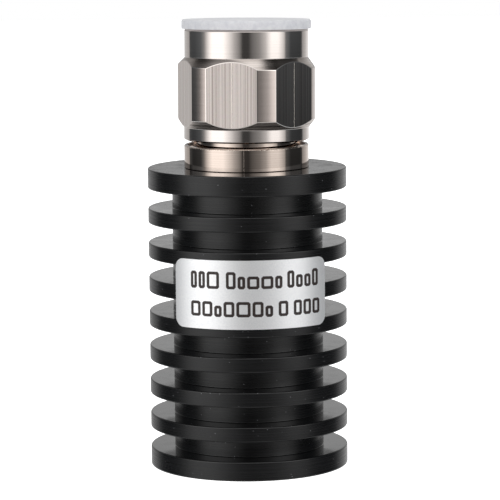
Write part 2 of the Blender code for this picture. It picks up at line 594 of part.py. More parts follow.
def build_resistor(materials):
    """Flange, ceramic substrate, lid and input tab, layered from the spreader towards -Y."""
    flange = block("resistor_flange",
                   (-FLANGE_LENGTH / 2, FLANGE_FRONT_Y, RESISTOR_Z - FLANGE_HEIGHT / 2),
                   (FLANGE_LENGTH / 2, FLANGE_BACK_Y, RESISTOR_Z + FLANGE_HEIGHT / 2),
                   materials["copper"])
    for index, side in enumerate((-1, 1), start=1):
        front = Vector((side * FLANGE_SCREW_X, FLANGE_FRONT_Y - CUT_MARGIN, RESISTOR_Z))
        back = Vector((side * FLANGE_SCREW_X, FLANGE_BACK_Y + CUT_MARGIN, RESISTOR_Z))
        drill(f"flange_hole_cutter_{index}", flange, SCREW_HOLE_RADIUS, front, back)
    substrate_bottom = RESISTOR_Z - SUBSTRATE_HEIGHT / 2
    substrate_top = RESISTOR_Z + SUBSTRATE_HEIGHT / 2
    block("resistor_substrate", (-SUBSTRATE_WIDTH / 2, SUBSTRATE_FRONT_Y, substrate_bottom),
          (SUBSTRATE_WIDTH / 2, SUBSTRATE_BACK_Y, substrate_top), materials["nitride"])
    lid_bottom = substrate_bottom + SUBSTRATE_MARGIN
    block("resistor_lid", (-LID_WIDTH / 2, TAB_BACK_Y - LID_THICKNESS, lid_bottom),
          (LID_WIDTH / 2, TAB_BACK_Y, lid_bottom + LID_HEIGHT), materials["alumina"])
    block("resistor_tab", (-TAB_WIDTH / 2, TAB_FRONT_Y, substrate_top - TAB_BOND_LENGTH),
          (TAB_WIDTH / 2, TAB_BACK_Y, PIN_TAIL_Z + PIN_FLAT_LENGTH - SEAT_GAP),
          materials["silver"])


def build_screw(name, length, under_head, direction, materials):
    """Socket-head screw; under_head is the point where head and shank meet."""
    outline = [
        (0.0, -SCREW_HEAD_HEIGHT),
        (SCREW_HEAD_RADIUS - SCREW_HEAD_BREAK, -SCREW_HEAD_HEIGHT),
        (SCREW_HEAD_RADIUS, -SCREW_HEAD_HEIGHT + SCREW_HEAD_BREAK),
        (SCREW_HEAD_RADIUS, 0.0),
        (SCREW_SHANK_RADIUS, 0.0),
        (SCREW_SHANK_RADIUS, length),
        (0.0, length),
    ]
    screw = turned(name, outline, materials["stainless"], SMALL_STEPS)
    turn = Vector((0, 0, 1)).rotation_difference(direction).to_matrix().to_4x4()
    screw.matrix_world = Matrix.Translation(under_head) @ turn
    socket = extruded(f"{name}_socket_cutter",
                      hexagon(SCREW_SOCKET_FLATS, 0.0, -SCREW_HEAD_HEIGHT - CUT_MARGIN),
                      (0, 0, SCREW_SOCKET_DEPTH + CUT_MARGIN), None)
    socket.matrix_world = screw.matrix_world.copy()
    combine(screw, socket, "DIFFERENCE")


def build_screws(materials):
    for index, side in enumerate((-1, 1), start=1):
        disc_seat = Vector((side * DISC_SCREW_X, DISC_SCREW_Y, DISC_BOTTOM_Z - SEAT_GAP))
        build_screw(f"spreader_screw_{index}", DISC_SCREW_LENGTH, disc_seat,
                    Vector((0, 0, 1)), materials)
        flange_seat = Vector((side * FLANGE_SCREW_X, FLANGE_FRONT_Y - SEAT_GAP, RESISTOR_Z))
        build_screw(f"flange_screw_{index}", FLANGE_SCREW_LENGTH, flange_seat,
                    Vector((0, 1, 0)), materials)


def main():
    clear_scene()
    materials = make_materials()
    build_heat_sink(materials)
    build_rating_label(materials)
    build_connector_body(materials)
    build_coupling_nut(materials)
    build_dust_cap(materials)
    build_retaining_ring(materials)
    build_face_gasket(materials)
    build_insulator("front_insulator", CONTACT_RADIUS, PIN_RADIUS + SEAT_GAP,
                    FRONT_LEDGE_Z + SEAT_GAP, CONTACT_BOTTOM_Z - SEAT_GAP, materials)
    build_insulator("rear_insulator", REAR_POCKET_RADIUS - SEAT_GAP, PIN_TAIL_RADIUS + SEAT_GAP,
                    SPIGOT_BOTTOM_Z + SEAT_GAP, REAR_LEDGE_Z - SEAT_GAP, materials)
    build_outer_contact(materials)
    build_centre_pin(materials)
    build_heat_spreader(materials)
    build_resistor(materials)
    build_screws(materials)


main()
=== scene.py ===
import json
import math

import bmesh
import bpy
from mathutils import Matrix, Vector

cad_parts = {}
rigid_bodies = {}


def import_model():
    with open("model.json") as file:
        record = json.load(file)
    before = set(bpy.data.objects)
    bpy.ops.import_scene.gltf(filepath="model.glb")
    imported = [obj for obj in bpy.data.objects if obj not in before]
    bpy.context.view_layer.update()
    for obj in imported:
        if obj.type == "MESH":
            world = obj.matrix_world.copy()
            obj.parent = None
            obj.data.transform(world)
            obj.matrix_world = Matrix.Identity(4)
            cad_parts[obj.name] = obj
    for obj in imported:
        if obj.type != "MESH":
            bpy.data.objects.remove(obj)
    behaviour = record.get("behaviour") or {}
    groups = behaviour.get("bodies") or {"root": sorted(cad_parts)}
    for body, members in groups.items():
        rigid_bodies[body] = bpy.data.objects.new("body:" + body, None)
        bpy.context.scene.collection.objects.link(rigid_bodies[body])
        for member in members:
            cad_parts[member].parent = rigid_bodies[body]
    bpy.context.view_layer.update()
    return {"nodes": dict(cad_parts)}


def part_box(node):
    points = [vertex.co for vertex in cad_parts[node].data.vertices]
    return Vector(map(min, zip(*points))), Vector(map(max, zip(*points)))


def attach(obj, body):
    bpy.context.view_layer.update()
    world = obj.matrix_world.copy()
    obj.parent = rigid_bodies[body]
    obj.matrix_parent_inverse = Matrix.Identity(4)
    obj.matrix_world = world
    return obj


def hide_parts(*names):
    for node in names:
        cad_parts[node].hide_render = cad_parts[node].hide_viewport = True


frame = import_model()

mm = 0.001
nodes = frame["nodes"]

topExtra = 0.17              # mm; the photo's upper flange is this much thicker than the CAD's

# sizes that the pieces share, in mm, read from the CAD
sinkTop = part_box("heat_sink")[1].z / mm + topExtra
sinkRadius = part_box("heat_sink")[1].x / mm
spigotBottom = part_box("connector_body")[0].z / mm
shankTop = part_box("connector_body")[1].z / mm
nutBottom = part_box("coupling_nut")[0].z / mm
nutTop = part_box("coupling_nut")[1].z / mm
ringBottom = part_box("retaining_ring")[0].z / mm
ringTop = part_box("retaining_ring")[1].z / mm
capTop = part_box("dust_cap")[1].z / mm
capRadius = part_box("dust_cap")[1].x / mm


def toLinear(hexText):
    # sRGB hex to the linear values that the sockets take
    levels = []
    for start in (0, 2, 4):
        level = int(hexText[start:start + 2], 16) / 255
        levels.append(level / 12.92 if level <= 0.04045 else ((level + 0.055) / 1.055) ** 2.4)
    return (*levels, 1.0)


def addNode(tree, kind, settings=None, inputs=None):
    # one node with its settings; an input is either a socket to link or a value
    node = tree.nodes.new(kind)
    for name, value in (settings or {}).items():
        setattr(node, name, value)
    for key, value in (inputs or {}).items():
        if isinstance(value, bpy.types.NodeSocket):
            tree.links.new(value, node.inputs[key])
        else:
            node.inputs[key].default_value = value
    return node


def startMaterial(name):
    material = bpy.data.materials.new(name)
    material.use_nodes = True
    return material, material.node_tree, material.node_tree.nodes["Principled BSDF"]


def compute(tree, operation, *values):
    # what a maths node gives for one to three sockets or numbers
    return addNode(tree, "ShaderNodeMath", {"operation": operation}, dict(enumerate(values))).outputs[0]


def spread(tree, value, start, end, first=0.0, last=1.0, curve="LINEAR"):
    # first where the value is at start, last where it is at end, and between them in between
    return addNode(tree, "ShaderNodeMapRange", {"interpolation_type": curve},
                   {"Value": value, "From Min": start, "From Max": end,
                    "To Min": first, "To Max": last}).outputs[0]


def mixLevels(tree, share, first, second):
    return addNode(tree, "ShaderNodeMix", {"data_type": "FLOAT"},
                   {0: share, 2: first, 3: second}).outputs[0]


def mixColours(tree, share, first, second, way="MIX"):
    return addNode(tree, "ShaderNodeMix", {"data_type": "RGBA", "blend_type": way},
                   {"Factor": share, 6: first, 7: second}).outputs[2]


def rampOver(tree, value, *stops):
    # a stop is its place, and sRGB hex or a grey level
    node = addNode(tree, "ShaderNodeValToRGB", {}, {0: value})
    elements = node.color_ramp.elements
    elements.remove(elements[-1])                 # a new ramp has two
    for index, (place, colour) in enumerate(stops):
        element = elements[0] if index == 0 else elements.new(place)
        element.position = place
        element.color = toLinear(colour) if isinstance(colour, str) else (colour, colour, colour, 1.0)
    return node.outputs[0]


def aroundAxis(tree):
    # height, radius and angle of each point, in the object's own place
    place = addNode(tree, "ShaderNodeTexCoord").outputs["Object"]
    axes = addNode(tree, "ShaderNodeSeparateXYZ", {}, {0: place}).outputs
    flat = addNode(tree, "ShaderNodeVectorMath", {"operation": "MULTIPLY"}, {0: place, 1: (1, 1, 0)})
    radius = addNode(tree, "ShaderNodeVectorMath", {"operation": "LENGTH"}, {0: flat.outputs[0]})
    return axes["Z"], radius.outputs["Value"], compute(tree, "ARCTAN2", axes["Y"], axes["X"])


def turnedLines(tree, spacing, detail):
    # lathe marks: a noise that only changes along the radius and the height
    height, radius, angle = aroundAxis(tree)
    turns = compute(tree, "DIVIDE", compute(tree, "ADD", radius, height), spacing * mm)
    return addNode(tree, "ShaderNodeTexNoise", {"noise_dimensions": "1D"},
                   {"W": turns, "Scale": 1.0, "Detail": detail, "Roughness": 0.7}).outputs["Fac"]


def scaledNoise(tree, size, stretch=(1, 1, 1), detail=2.0, roughness=0.6):
    # noise whose grain is size mm across, in the object's own place
    place = addNode(tree, "ShaderNodeTexCoord").outputs["Object"]
    scaled = addNode(tree, "ShaderNodeVectorMath", {"operation": "MULTIPLY"},
                     {0: place, 1: tuple(axis / (size * mm) for axis in stretch)})
    return addNode(tree, "ShaderNodeTexNoise", {},
                   {"Vector": scaled.outputs[0], "Scale": 1.0, "Detail": detail,
                    "Roughness": roughness}).outputs["Fac"]


noiseLow, noiseHigh = 0.3, 0.7            # most of a noise's values lie between these


def setRoughness(tree, shader, noise, roughness):
    rough = spread(tree, noise, noiseLow, noiseHigh, *roughness)
    tree.links.new(rough, shader.inputs["Roughness"])


def setRelief(tree, shader, *layers):
    # each layer is a noise and its depth in mm, and lies on the one before it
    normal = None
    for noise, depth in layers:
        relief = {"Strength": 1.0, "Distance": depth * mm, "Height": noise}
        if normal is not None:
            relief["Normal"] = normal
        normal = addNode(tree, "ShaderNodeBump", {}, relief).outputs[0]
    tree.links.new(normal, shader.inputs["Normal"])


# Black anodised aluminium, turned, then etched: a satin black that only the light's edges lift
anodisedLook = {
    "dark": "080809", "light": "0E0E0F", "speck": "7C7C80", "cloudSize": 2.4,
    "ior": 1.46,                      # sealed oxide layer
    "roughness": (0.24, 0.32),        # on the rims
    "facedRoughness": (0.06, 0.15),   # on the discs' faces, cut with a finer feed
    "facedSlope": (0.5, 0.95),        # from how steeply a surface looks up or down
    "lineSpacing": 0.34,              # real feed is nearer 0.1 mm, too fine to show here
    "lineDepth": 0.0010,              # mm
    "speckSpacing": 0.75, "speckSize": (0.05, 0.12), "speckChance": 0.72,       # dust and pinholes
}


def makeAnodised():
    material, tree, shader = startMaterial("blackAnodisedAluminiumTurned")
    look = anodisedLook
    lines = turnedLines(tree, look["lineSpacing"], 3.0)
    cloud = scaledNoise(tree, look["cloudSize"])
    base = rampOver(tree, cloud, (noiseLow, look["dark"]), (noiseHigh, look["light"]))
    place = addNode(tree, "ShaderNodeTexCoord").outputs["Object"]
    cells = addNode(tree, "ShaderNodeTexVoronoi", {},
                    {"Vector": place, "Scale": 1 / (look["speckSpacing"] * mm)})
    speck = spread(tree, cells.outputs["Distance"], *look["speckSize"], 1.0, 0.0)
    chance = addNode(tree, "ShaderNodeSeparateColor", {}, {0: cells.outputs["Color"]}).outputs[0]
    kept = compute(tree, "GREATER_THAN", chance, look["speckChance"])
    colour = mixColours(tree, compute(tree, "MULTIPLY", speck, kept), base, toLinear(look["speck"]))
    tree.links.new(colour, shader.inputs["Base Color"])
    normal = addNode(tree, "ShaderNodeNewGeometry").outputs["True Normal"]
    slope = addNode(tree, "ShaderNodeSeparateXYZ", {}, {0: normal}).outputs["Z"]
    faced = spread(tree, compute(tree, "ABSOLUTE", slope), *look["facedSlope"])
    finish = mixLevels(tree, faced, spread(tree, lines, noiseLow, noiseHigh, *look["roughness"]),
                       spread(tree, cloud, 0.35, 0.65, *look["facedRoughness"]))
    tree.links.new(finish, shader.inputs["Roughness"])
    setRelief(tree, shader, (lines, look["lineDepth"]))
    shader.inputs["Metallic"].default_value = 0.0
    shader.inputs["IOR"].default_value = look["ior"]
    return material


# Nickel plate on turned brass: a warm mirror with lathe marks. At one edge, given by its height and
# reach in mm, bare spots show brown, and small burrs are rougher and painted near-white: a painted glint.
turnedNickelLook = {
    "colour": "D7CFCA", "dull": "D3CBC6", "bare": "7A5848",
    "roughness": (0.085, 0.11),
    "lineSpacing": 0.33,              # drawn about three times the real feed, so that it shows
    "lineDepth": 0.00009,
    "burrSize": 0.22, "burrShare": 0.64, "bareShare": 0.37, "burrEdge": (nutTop - 0.12, 0.13),
}
# the collar was cut with a pointed tool: its rings are closer and deeper, and its plate is a little
# browner and reflects more sharply
collarNickelLook = {
    "colour": "CFC1B7", "dull": "BFB0A5", "bare": "7A6458",
    "roughness": (0.03, 0.08),
    "lineSpacing": 0.20,
    "lineDepth": 0.0002,
    "burrSize": 0.30, "burrShare": 0.54, "bareShare": 0.44, "burrEdge": (sinkTop + 3.50, 0.05),
    "scratchAngle": -92.4, "scratchWidth": 0.07,
}
# the cones were formed with a wide tool that chattered, which left a fine grain
formedNickelLook = {
    "colour": "D8CFC9", "dull": "A09791", "bare": "8A7468",
    "roughness": (0.10, 0.17),
    "lineSpacing": 0.50,
    "lineDepth": 0.0004,
    "burrSize": 0.24, "burrShare": 0.64, "bareShare": 0.44, "burrEdge": (nutBottom + 2.15, 0.05),
    "grain": 0.30, "grainDepth": 0.003,
}
# the lower one chattered more, so it only shows soft greys
chatteredNickelLook = dict(formedNickelLook, roughness=(0.26, 0.36), colour="DED5CF", grainDepth=0.005)
# the corners keep the drawn bar's own skin, a little duller than the cuts
barNickelLook = {
    "colour": "BDB2AC", "dull": "B8ADA7", "bare": "8A7468",
    "roughness": (0.09, 0.14),
    "lineSpacing": 0.60,
    "lineDepth": 0.00006,
    "burrSize": 0.20, "burrShare": 0.60, "bareShare": 0.44, "burrEdge": (nutTop - 5.85, 0.10),
}
# what all of them share; only surfaces further out than the radius, in mm, have burrs and the scratch.
# The burrs' near-white colour is a painted glint, whiter than the plate, so that they read bright.
nickelWearAndGlint = {
    "radius": 9.75, "burrPaintedGlint": "FFF3E4", "burrRoughness": 0.3, "scratchRoughness": 0.4,
    "burrBlur": 0.05, "bareBlur": 0.08,
}


def makeTurnedNickel(name, look):
    material, tree, shader = startMaterial(name)
    lines = turnedLines(tree, look["lineSpacing"], 4.0)
    base = rampOver(tree, lines, (0.34, look["dull"]), (0.6, look["colour"]))
    height, radius, angle = aroundAxis(tree)
    level, reach = look["burrEdge"]
    outside = compute(tree, "GREATER_THAN", radius, nickelWearAndGlint["radius"] * mm)
    edge = compute(tree, "MULTIPLY", compute(tree, "COMPARE", height, level * mm, reach * mm), outside)
    flecks = scaledNoise(tree, look["burrSize"], (1, 1, 1.6), 3.0, 0.7)
    glints = spread(tree, flecks, look["burrShare"], look["burrShare"] + nickelWearAndGlint["burrBlur"])
    worn = spread(tree, flecks, look["bareShare"], look["bareShare"] - nickelWearAndGlint["bareBlur"])
    # the burr flecks are rougher, and their near-white colour is a painted glint; the bare spots are wear
    burrPaintedGlint = compute(tree, "MULTIPLY", edge, glints)
    bare = compute(tree, "MULTIPLY", edge, worn)
    withBare = mixColours(tree, bare, base, toLinear(look["bare"]))
    colour = mixColours(tree, burrPaintedGlint, withBare, toLinear(nickelWearAndGlint["burrPaintedGlint"]))
    tree.links.new(colour, shader.inputs["Base Color"])
    rough = compute(tree, "MULTIPLY_ADD", burrPaintedGlint, nickelWearAndGlint["burrRoughness"],
                    spread(tree, lines, noiseLow, noiseHigh, *look["roughness"]))
    if "scratchAngle" in look:
        scratch = compute(tree, "COMPARE", angle, math.radians(look["scratchAngle"]),
                          look["scratchWidth"] / body["collarRadius"] / 2)
        rough = compute(tree, "MULTIPLY_ADD", compute(tree, "MULTIPLY", scratch, outside),
                        nickelWearAndGlint["scratchRoughness"], rough)
    tree.links.new(rough, shader.inputs["Roughness"])
    relief = [(lines, look["lineDepth"])]
    if "grain" in look:
        relief.append((scaledNoise(tree, look["grain"], (1, 1, 1), 3.0, 0.7), look["grainDepth"]))
    setRelief(tree, shader, *relief)
    shader.inputs["Metallic"].default_value = 1.0
    return material


# Nickel plate on milled flats: the cutter ran along the nut, so the streaks stand upright. A thin
# near-white, rough line near the middle of each flat is a painted highlight.
milledNickelLook = {
    "colour": "E3D9D3", "dull": "A09490", "paintedHighlightLine": "FFF6EC",
    "roughness": (0.06, 0.13),
    "streakWidth": 0.17, "streakDepth": 0.0008,
    "mottleSize": 0.45, "mottleShare": 0.12,
    "highlightLinePlace": 0.07, "highlightLineWidth": 0.07, "highlightLineRoughness": 0.55,      # the painted highlight line's place, in mm from the middle
}


def makeMilledNickel():
    material, tree, shader = startMaterial("nickelPlatedBrassMilled")
    look = milledNickelLook
    streaks = scaledNoise(tree, look["streakWidth"], (1, 1, 0.001), 4.0, 0.8)
    mottle = scaledNoise(tree, look["mottleSize"], (1, 1, 0.6), 3.0, 0.7)
    base = rampOver(tree, streaks, (0.34, look["dull"]), (0.52, look["colour"]))
    worked = mixColours(tree, look["mottleShare"], base, mottle.node.outputs["Color"], "MULTIPLY")
    height, radius, angle = aroundAxis(tree)
    # a thin line near each flat's middle, painted near-white and rough: a painted highlight
    fromFlat = compute(tree, "SUBTRACT", angle, math.radians(nut["flatAngle"]) - math.pi / 6)
    paintedHighlightLine = compute(tree, "COMPARE", compute(tree, "FLOORED_MODULO", fromFlat, math.pi / 3),
                    math.pi / 6 + look["highlightLinePlace"] / (nut["acrossFlats"] / 2),
                    look["highlightLineWidth"] / nut["acrossFlats"])
    tree.links.new(mixColours(tree, paintedHighlightLine, worked, toLinear(look["paintedHighlightLine"])), shader.inputs["Base Color"])
    rough = spread(tree, mottle, noiseLow, noiseHigh, *look["roughness"])
    tree.links.new(mixLevels(tree, paintedHighlightLine, rough, look["highlightLineRoughness"]), shader.inputs["Roughness"])
    setRelief(tree, shader, (streaks, look["streakDepth"]))
    shader.inputs["Metallic"].default_value = 1.0
    return material


# Polyethylene, injection moulded: milky, waxy, light goes a little way in
capLook = {
    "light": "E2E2E5", "shade": "D5D5DA", "cloudSize": 0.9, "ior": 1.51, "roughness": 0.42,
    "depth": 2.0, "depthShare": 0.35, "skinSize": 0.35, "skinDepth": 0.004,
}


def makeCapPlastic():
    material, tree, shader = startMaterial("polyethyleneMoulded")
    cloud = scaledNoise(tree, capLook["cloudSize"], (1, 1, 1), 3.0)
    base = rampOver(tree, cloud, (0.35, capLook["shade"]), (0.65, capLook["light"]))
    tree.links.new(base, shader.inputs["Base Color"])
    setRelief(tree, shader, (scaledNoise(tree, capLook["skinSize"]), capLook["skinDepth"]))
    shader.inputs["IOR"].default_value = capLook["ior"]
    shader.inputs["Roughness"].default_value = capLook["roughness"]
    shader.inputs["Subsurface Weight"].default_value = capLook["depthShare"]
    shader.inputs["Subsurface Radius"].default_value = (1.0, 1.0, 1.0)
    shader.inputs["Subsurface Scale"].default_value = capLook["depth"] * mm
    return material


# Silver polyester film, vacuum coated and satin: it spreads the lights wide and sparkles a little
filmLook = {
    "light": "FBFBFB", "shade": "ECEDEF", "metallic": 0.66, "roughness": (0.41, 0.29), "grain": 0.22,
}


def makeFilm():
    material, tree, shader = startMaterial("silverPolyesterFilmSatin")
    grain = scaledNoise(tree, filmLook["grain"], (1, 1, 1), 2.0, 0.8)
    base = rampOver(tree, grain, (noiseLow, filmLook["shade"]), (noiseHigh, filmLook["light"]))
    tree.links.new(base, shader.inputs["Base Color"])
    setRoughness(tree, shader, grain, filmLook["roughness"])
    shader.inputs["Metallic"].default_value = filmLook["metallic"]
    return material


# Thermal transfer ink, waxy black with pinholes
inkLook = {"dark": "1E1614", "light": "3A2C28", "roughness": 0.45, "pinholes": 0.2}


def makeInk():
    material, tree, shader = startMaterial("transferInkPrinted")
    holes = scaledNoise(tree, inkLook["pinholes"], (1, 1, 1), 2.0, 0.8)
    base = rampOver(tree, holes, (0.4, inkLook["dark"]), (0.75, inkLook["light"]))
    tree.links.new(base, shader.inputs["Base Color"])
    shader.inputs["Roughness"].default_value = inkLook["roughness"]
    return material


# The pieces inside, which keep their CAD shape: colours, metallic, roughness, grain in mm, relief in mm
innerLooks = {
    "goldPlatedBronzeTurned": ("E8C070", "D9A94E", 1.0, (0.14, 0.24), 0.30, 0.0008),
    "ptfeMachined": ("F2F2EE", "E6E6E1", 0.0, (0.40, 0.52), 0.40, 0.003),
    "siliconeMoulded": ("B0382B", "9E3024", 0.0, (0.50, 0.62), 0.50, 0.004),
    "springSteelStamped": ("B8B6B2", "9E9C98", 1.0, (0.26, 0.38), 0.35, 0.0015),
    "aluminiumMilled": ("DCDCDE", "C6C6C9", 1.0, (0.26, 0.38), 0.45, 0.002),
    "copperNickelFlashed": ("D8B49A", "C79E82", 1.0, (0.26, 0.36), 0.40, 0.001),
    "aluminiumNitrideFired": ("B9B5AE", "A9A59E", 0.0, (0.52, 0.64), 0.25, 0.002),
    "aluminaFired": ("EAE8E3", "DEDCD6", 0.0, (0.46, 0.58), 0.25, 0.002),
    "silverStripRolled": ("E6E4E0", "D2D0CB", 1.0, (0.18, 0.28), 0.30, 0.0008),
    "stainlessSteelHeaded": ("C9C6C0", "B3B0AA", 1.0, (0.24, 0.34), 0.30, 0.001),
}
innerPieces = {
    "outer_contact": "goldPlatedBronzeTurned", "centre_pin": "goldPlatedBronzeTurned",
    "front_insulator": "ptfeMachined", "rear_insulator": "ptfeMachined",
    "face_gasket": "siliconeMoulded", "retaining_ring": "springSteelStamped",
    "heat_spreader": "aluminiumMilled", "resistor_flange": "copperNickelFlashed",
    "resistor_substrate": "aluminiumNitrideFired", "resistor_lid": "aluminaFired",
    "resistor_tab": "silverStripRolled",
    "spreader_screw_1": "stainlessSteelHeaded", "spreader_screw_2": "stainlessSteelHeaded",
    "flange_screw_1": "stainlessSteelHeaded", "flange_screw_2": "stainlessSteelHeaded",
}


def makeInnerFinish(name):
    light, shade, metallic, roughness, grain, relief = innerLooks[name]
    material, tree, shader = startMaterial(name)
    noise = scaledNoise(tree, grain, (1, 1, 1), 3.0, 0.65)
    tree.links.new(rampOver(tree, noise, (0.35, shade), (0.65, light)), shader.inputs["Base Color"])
    setRoughness(tree, shader, noise, roughness)
    setRelief(tree, shader, (noise, relief))
    shader.inputs["Metallic"].default_value = metallic
    return material


def finishInnerPieces():
    finishes = {name: makeInnerFinish(name) for name in innerLooks}
    for node, finish in innerPieces.items():
        nodes[node].data.materials.clear()
        nodes[node].data.materials.append(finishes[finish])
    print("inner pieces finished:", len(innerPieces))


def arcPoints(here, before, after, rounding, steps):
    # the arc that rounds the corner here, between the points before and after it
    here = Vector(here)
    back = (Vector(before) - here).normalized()
    ahead = (Vector(after) - here).normalized()
    half = back.angle(ahead) / 2
    centre = here + (back + ahead).normalized() * (rounding / math.sin(half))
    first = here + back * (rounding / math.tan(half)) - centre
    last = here + ahead * (rounding / math.tan(half)) - centre
    sweep = math.atan2(first.x * last.y - first.y * last.x, first.dot(last))
    points = []
    for step in range(steps + 1):
        turn = sweep * step / steps
        points.append(centre + Vector((first.x * math.cos(turn) - first.y * math.sin(turn),
                                       first.x * math.sin(turn) + first.y * math.cos(turn))))
    return points


def roundedOutline(corners, arcSteps=5):
    # corners are (radius, height, rounding) in mm; each rounding becomes an arc
    points = []
    for index, (radius, height, rounding) in enumerate(corners):
        if rounding == 0:
            points.append(Vector((radius, height)))
        else:
            after = corners[(index + 1) % len(corners)]
            points += arcPoints((radius, height), corners[index - 1][:2], after[:2], rounding, arcSteps)
    return points


def joinRings(mesh, rings, closedLoop):
    # quads between neighbouring rings; a ring of one point is a pole
    pairs = list(zip(rings, rings[1:]))
    if closedLoop:
        pairs.append((rings[-1], rings[0]))
    faces = []
    for low, high in pairs:
        count = max(len(low), len(high))
        row = []
        for index in range(count):
            after = (index + 1) % count
            corners = [low[index % len(low)], low[after % len(low)],
                       high[after % len(high)], high[index % len(high)]]
            row.append(mesh.faces.new(list(dict.fromkeys(corners))))
        faces.append(row)
    return faces


def finishPiece(name, mesh, materials, smooth=True):
    bmesh.ops.recalc_face_normals(mesh, faces=mesh.faces)
    data = bpy.data.meshes.new(name)
    mesh.to_mesh(data)
    mesh.free()
    if smooth:
        data.shade_smooth()
    for material in materials:
        data.materials.append(material)
    piece = bpy.data.objects.new(name, data)
    bpy.context.scene.collection.objects.link(piece)
    return piece


def evenNormals(piece):
    # normals weighted by area, so that big faces stay true up to the small arcs at their edges
    mesh = bmesh.new()
    mesh.from_mesh(piece.data)
    normals = []
    for vertex in mesh.verts:
        total = Vector((0, 0, 0))
        for face in vertex.link_faces:
            total += face.normal * face.calc_area()
        normals.append(total.normalized())
    mesh.free()
    piece.data.normals_split_custom_set_from_vertices(normals)


onAxis = 1e-6                             # mm; a point this near the axis closes its end


def pointAt(radius, angle, height):
    # mm round the axis to metres
    return (radius * math.cos(angle) * mm, radius * math.sin(angle) * mm, height * mm)


def turnPiece(name, outline, material, steps):
    mesh = bmesh.new()
    rings = []
    for radius, height in outline:
        count = 1 if radius < onAxis else steps
        rings.append([mesh.verts.new(pointAt(radius, math.tau * index / steps, height))
                      for index in range(count)])
    joinRings(mesh, rings, outline[0][0] > onAxis)
    return finishPiece(name, mesh, [material])


def cutWith(piece, cutter):
    # cuts at once and takes the cutter away again
    modifier = piece.modifiers.new("cut", "BOOLEAN")
    modifier.object = cutter
    modifier.operation = "DIFFERENCE"
    modifier.solver = "EXACT"
    with bpy.context.temp_override(object=piece, active_object=piece, selected_objects=[piece]):
        bpy.ops.object.modifier_apply(modifier=modifier.name)
    bpy.data.objects.remove(cutter, do_unlink=True)


# Heat sink, turned from one bar
sink = {
    "steps": 256,
    "coreRadius": 12.1,
    "finCount": 7, "finThickness": 2.4, "flangeThickness": 3.1, "finSpacing": 3.15,
    "edge": 0.22, "root": 0.12,               # rounding of the rims and at the fins' roots
    "boreRadius": 8.0, "boreFloor": 11.0, "pointAngle": 118,
    "counterboreRadius": 8.7, "counterboreFloor": spigotBottom - 0.3,
    "mouthEdge": 0.15, "ledgeEdge": 0.1, "floorEdge": 0.2,
}


def discLevels():
    thicknesses = [sink["flangeThickness"]] + [sink["finThickness"]] * sink["finCount"]
    thicknesses.append(sink["flangeThickness"] + topExtra)
    levels = []
    bottom = 0.0
    for thickness in thicknesses:
        levels.append((bottom, bottom + thickness))
        bottom += thickness + sink["finSpacing"]
    return levels


def makeHeatSink(anodised):
    corners = [(0.0, 0.0, 0)]
    levels = discLevels()
    for index, (bottom, top) in enumerate(levels):
        if index > 0:
            corners.append((sink["coreRadius"], bottom, sink["root"]))
        corners.append((sinkRadius, bottom, sink["edge"]))
        corners.append((sinkRadius, top, sink["edge"]))
        if index < len(levels) - 1:
            corners.append((sink["coreRadius"], top, sink["root"]))
    pointDepth = sink["boreRadius"] / math.tan(math.radians(sink["pointAngle"] / 2))
    corners += [
        (sink["counterboreRadius"], sinkTop, sink["mouthEdge"]),
        (sink["counterboreRadius"], sink["counterboreFloor"], sink["ledgeEdge"]),
        (sink["boreRadius"], sink["counterboreFloor"], sink["ledgeEdge"]),
        (sink["boreRadius"], sink["boreFloor"], sink["floorEdge"]),
        (0.0, sink["boreFloor"] - pointDepth, 0),
    ]
    piece = turnPiece("heatSink", roundedOutline(corners), anodised, sink["steps"])
    evenNormals(piece)
    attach(piece, "load_body")
    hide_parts("heat_sink")
    print("heat sink: discs", len(levels))


# Connector body; its collar stands on the sink
body = {
    "steps": 192,
    "spigotRadius": 8.4, "spigotChamfer": 0.4,
    "rearPocketRadius": 4.1, "rearPocketDepth": 5.0, "lineRadius": 3.5,
    "frontPocketRadius": 4.3, "frontPocketDepth": 8.1,
    "collarRadius": 10.04, "collarTop": sinkTop + 3.68, "collarChamfer": 0.16, "collarLip": 0.58,
    "recessDepth": 0.6,                 # round the neck's foot, behind the lip
    "footWidth": 0.35, "footHeight": 0.07, "neckRadius": 8.0, "ringGroove": 0.7, "runningGap": 0.3,
    "edge": 0.1, "fineEdge": 0.05, "pocketEdge": 0.08, "footEdge": 0.03, "shoulderEdge": 0.06,
    "lipEdge": 0.04,
    "offCentre": -0.05,                 # its thread stands a little off centre in the sink
    "screwCircle": 5.9, "screwTurn": -22, "screwHoleRadius": 1.1, "screwHoleTop": 43.65,
    "screwHoleSteps": 32, "cutterReach": 1,       # the cutter starts that far below the spigot
}


